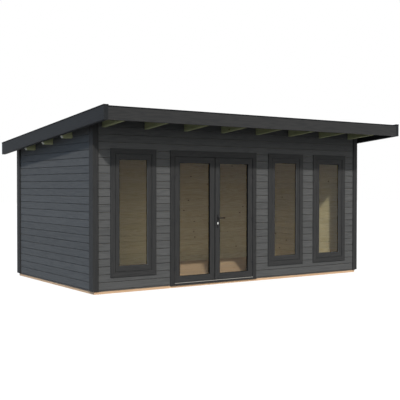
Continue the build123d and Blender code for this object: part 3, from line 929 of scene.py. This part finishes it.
dress(upright_paint, "corner_board_front_left", "corner_board_front_right", "door_jamb_left",
      "door_jamb_right")
dress(rear_painted_shade, "corner_board_rear_left", "corner_board_rear_right")
dress(fascia_paint, "door_head", "door_threshold", "front_fascia", "rear_fascia")
dress(verge_painted_shade, "left_verge_beam", "right_verge_beam")
dress(joist_pine["x"], "front_joist", "rear_joist")
dress(joist_pine["y"], "cross_joists")
dress(treated_pine["y"], "rafters")
dress(treated_pine["x"], "outriggers")
dress(roof_sheet, "roof_covering")
dress(window_glass, "window_panes")
dress(door_glass, "door_glass_left", "door_glass_right")
dress(sill_aluminium, "door_sill")
dress(hinge_coat, "frame_hinges", "leaf_hinges_left", "leaf_hinges_right")
dress(handle_coat, "door_lever", "lock_plates")
dress(lock_nickel, "lock_cylinder")
print("finishes in all:", len(bpy.data.materials) - cad_finishes)

# %% [markdown]
# ## Turned pieces
# A screw head or a lock's plug is a profile turned round its own axis: every ring of the profile
# is a radius and a height out of the plate it sits in. All heads of one set are made at once.

# %% Helper: turned
def turned(name, centres, outward, profile, sides, finish):
    """Solids of revolution. With u once round, a point of them is
    centre + radius * (cos u * first + sin u * second) + height * outward."""
    centres = np.asarray(centres, float).reshape(-1, 3)
    outward = np.asarray(outward, float)
    first = z_axis
    second = np.cross(outward, first)
    radius, height = np.asarray(profile, float).T
    turn = np.arange(sides) * 2 * math.pi / sides
    circle = np.cos(turn)[:, None] * first + np.sin(turn)[:, None] * second
    ring = radius[:, None, None] * circle + height[:, None, None] * outward
    points = centres[:, None, None] + ring
    index = np.arange(points.size // 3).reshape(len(centres), len(profile), sides)
    after = np.roll(index, -1, axis=2)
    walls = np.stack([index[:, :-1], after[:, :-1], after[:, 1:], index[:, 1:]], axis=-1).reshape(-1, 4)
    caps = np.concatenate([index[:, 0, ::-1], index[:, -1]])
    faces = walls.tolist() + caps.tolist()
    return add_piece(name, points, faces, [finish], np.zeros(len(faces)), {})


# %% [markdown]
# ## Screws in the hinges
# Three countersunk screws hold each hinge plate, two beside the pin and one further out, with
# their heads a hair above it. From the middle of a hinge the jamb's plate reaches down and the
# leaf's plate up, so each set is moved by half a plate.

# %% Hinge screws
screw_profile = [(0.0034, -0.001), (0.0034, 0.0003), (0.0026, 0.0011), (0.0013, 0.0012), (0.0012, 0.0004)]
screw_sides = 12
screw_pattern = np.array([(0.015, -0.010), (0.015, 0.010), (0.031, 0.0)])
hinge_heights = np.array([0.330, 1.085, 1.840])
barrel_radius = 0.007
plate_thickness = 0.003
half_plate = 0.01825
casing_face = box("door_jamb_left")[0][1] - plate_thickness
leaf_low, leaf_high = box("door_leaf_left")
leaf_face = leaf_low[1] - plate_thickness
left_pin = box("leaf_hinges_left")[0][0] + barrel_radius
right_pin = box("leaf_hinges_right")[1][0] - barrel_radius


def plate_screws(name, pin, side, face, lift, body):
    """Three screws in each of three plates, which reach from the pin to one side; lift moves them."""
    x = np.tile(pin + side * screw_pattern[:, 0], len(hinge_heights))
    z = (hinge_heights[:, None] + (screw_pattern[:, 1] + lift)).ravel()
    places = np.stack([x, np.full_like(x, face), z], axis=1)
    mount(turned(name, places, -y_axis, screw_profile, screw_sides, hinge_coat), body)


for name, pin, side in (("left", left_pin, -1), ("right", right_pin, 1)):
    plate_screws(f"screws_{name}_jamb", pin, side, casing_face, -half_plate, "house")
    plate_screws(f"screws_{name}_leaf", pin, -side, leaf_face, half_plate, name + "_leaf")
print(f"hinge pins {right_pin - left_pin:.3f} m apart")

# %% [markdown]
# ## Lock
# The lock's two long plates are screwed on at their ends. Round each end of the cylinder lies a
# slim nickel rosette, round at its top and bottom, and the cylinder ends in a turned plug with a
# key slot.

# %% Lock
boss_radius = 0.0085
lock_screw_inset = 0.011
cylinder_radius = 0.0085
cylinder_foot = 0.004
rosette_radius = 0.0105
rosette_rise = 0.0018
rosette_points = 13
plug_profile = [(0.0068, -0.001), (0.0068, 0.0004), (0.0062, 0.0009)]
plug_sides = 24
slot_size = (0.0016, 0.0075)
slot_sink = 0.0003
slot_rise = 0.0009
plates = box("lock_plates")
cylinder = box("lock_cylinder")
lever_x = box("door_lever")[0][0] + boss_radius
lever_z = box("door_lever")[1][2] - boss_radius
plug_z = cylinder[1][2] - cylinder_radius
foot_z = cylinder[0][2] + cylinder_foot
screw_z = (plates[0][2] + lock_screw_inset, plates[1][2] - lock_screw_inset)
turn = np.linspace(0, math.pi, rosette_points)
rounded = rosette_radius * np.stack([np.cos(turn), np.sin(turn)], axis=1)
rosette = np.concatenate([rounded + [0, plug_z - lever_z], -rounded + [0, foot_z - lever_z]])
for side, outward, name in ((0, -y_axis, "outer"), (1, y_axis, "inner")):
    plate_y = plates[side][1]
    places = [(lever_x, plate_y, z) for z in screw_z]
    screws = turned("screws_lock_" + name, places, outward, screw_profile, screw_sides, handle_coat)
    mount(screws, "right_leaf")
    strip("lock_rosette_" + name, rosette, (lever_x, plate_y, lever_z), outward * rosette_rise,
          x_axis, z_axis, lock_nickel, "right_leaf")
    centre = np.array([lever_x, cylinder[side][1], plug_z])
    plug = turned("cylinder_plug_" + name, centre, outward, plug_profile, plug_sides, lock_nickel)
    mount(plug, "right_leaf")
    start = centre + outward * slot_sink - np.array([slot_size[0] / 2, 0, slot_size[1] / 2])
    strip("key_slot_" + name, square_edged(slot_size), start, outward * slot_rise, x_axis, z_axis,
          handle_coat, "right_leaf")
print(f"lever {lever_z:.3f} m and plug {plug_z:.3f} m above the ground")

# %% [markdown]
# ## Rubber lips and keep
# A black rubber lip on the left leaf closes the gap between the leaves, and lips in the frame
# close the gap round them; their black is partly painted shade that deepens the dark gap. The
# left leaf's edge has a metal keep where the bolt would go.

# %% Rubber lips and keep
meeting_section = [(0, 0), (0.0085, 0.002), (0.0095, 0.004), (0.0085, 0.006), (0, 0.008)]
meeting_setback = 0.004
meeting_margin = 0.012
keep_setback = 0.016
keep_width = 0.020
keep_height = 0.235
keep_drop = 0.08
leaf_gap = 0.005
frame_lip = (0.0035, 0.010)
frame_lip_arris = 0.001
frame_lip_setback = 0.012
leaf_height = leaf_high[2] - leaf_low[2]

edge = leaf_high[0] - shadow_gap
strip("meeting_lip", meeting_section,
      (edge, leaf_low[1] + meeting_setback, leaf_low[2] + meeting_margin),
      (leaf_height - 2 * meeting_margin) * z_axis, x_axis, y_axis, seal_rubber, "left_leaf")
strip("lock_keep", square_edged((shadow_gap, keep_width)),
      (edge, leaf_low[1] + keep_setback, plug_z - keep_drop), keep_height * z_axis, x_axis, y_axis,
      sill_aluminium, "left_leaf")

# The frame's black lips are rubber seals and partly painted shade that darkens the gap round the leaves.
lip_y = leaf_low[1] + frame_lip_setback
opening_low = leaf_low[0] - leaf_gap
opening_high = box("door_leaf_right")[1][0] + leaf_gap
starts = [(x, lip_y, leaf_low[2]) for x in (opening_low, opening_high - frame_lip[0])]
strip("jamb_lips", eased(frame_lip, frame_lip_arris), starts, leaf_height * z_axis, x_axis, y_axis,
      seal_rubber, "house")
strip("head_lip", eased(frame_lip[::-1], frame_lip_arris),
      (opening_low, lip_y, leaf_high[2] + leaf_gap - frame_lip[0]),
      (opening_high - opening_low) * x_axis, y_axis, z_axis, seal_rubber, "house")
print(f"door opening {opening_high - opening_low:.3f} m wide")

# %% [markdown]
# ## Lamps
# The key lamp stands to the left of the camera, so high that the deep eave throws its shadow
# over the top of the front wall. A broad warm lamp fills the front and the room, a cool one the
# left end, and one behind the house keeps the back from going black. Each has the direction of
# its light, its level (1 makes a white face square to it render white), its spread in degrees
# and its colour.

# %% Lamps
lamps = {
    "key": ((1.0, 1.56, -1.186), 0.78, 2.5, (1.0, 0.965, 0.92)),
    "front_fill": ((0.35, 1.0, -0.22), 0.38, 50, (1.0, 0.98, 0.94)),
    "left_fill": ((1.0, -0.1, -0.3), 0.31, 100, (0.18, 0.52, 1.0)),
    "rear_fill": ((-0.5, -1.0, -0.35), 0.4, 60, (0.96, 0.98, 1.0)),
}

for name, (direction, level, angle, colour) in lamps.items():
    data = bpy.data.lights.new(name, "SUN")
    data.energy = level * math.pi
    data.angle = math.radians(angle)
    data.color = colour
    new = bpy.data.objects.new(name, data)
    new.rotation_euler = Vector(direction).to_track_quat("-Z", "Y").to_euler()
    scene.collection.objects.link(new)
print("lamps:", len(lamps))

# %% [markdown]
# ## Studio and floor
# The studio around gives a low even light. Camera, mirror and glass rays see plain white instead.
# To them the floor glows nearly white with a faint shadow, and to all others it is a dull grey
# that throws little light back.

# %% Studio and floor
studio_level = 0.2
studio_cast = (0.98, 1.0, 0.99, 1.0)
floor_reach = 60
floor_dull = 0.2
floor_pale = 0.3
floor_glow = 0.82


def seen(tree):
    """1 for camera, glossy and transmission rays, which see the white studio."""
    ray = put(tree, "LightPath").outputs
    return reckon(tree, "MAXIMUM", ray["Is Camera Ray"],
                  reckon(tree, "MAXIMUM", ray["Is Glossy Ray"], ray["Is Transmission Ray"]))


scene.world = bpy.data.worlds.new("studio")
tree = empty_tree(scene.world)
lit = put(tree, "Background", {"Color": studio_cast, "Strength": studio_level})
white = put(tree, "Background", {"Color": (1, 1, 1, 1), "Strength": 1.0})
both = put(tree, "MixShader", {0: seen(tree), 1: lit.outputs[0], 2: white.outputs[0]})
put(tree, "OutputWorld", {"Surface": both.outputs[0]})

half = np.array([[-1, -1, 0], [1, -1, 0], [1, 1, 0], [-1, 1, 0]]) * floor_reach
ground_material = bpy.data.materials.new("studio_floor")
tree = empty_tree(ground_material)
dull = put(tree, "BsdfDiffuse", {"Color": (floor_dull,) * 3 + (1,)})
shaded = put(tree, "BsdfDiffuse", {"Color": (floor_pale,) * 3 + (1,)})
glow = put(tree, "Emission", {"Color": (1, 1, 1, 1), "Strength": floor_glow})
bright = put(tree, "AddShader", {0: shaded.outputs[0], 1: glow.outputs[0]})
either = put(tree, "MixShader", {0: seen(tree), 1: dull.outputs[0], 2: bright.outputs[0]})
put(tree, "OutputMaterial", {"Surface": either.outputs[0]})
ground = add_piece("studio_floor", half, [[0, 1, 2, 3]], [ground_material], np.zeros(1), {})
ground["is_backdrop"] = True
print("studio floor", 2 * floor_reach, "m square")

# %% Sizes and finish
low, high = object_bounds()
print("visual box", [round(v, 4) for v in (*low, *high)])
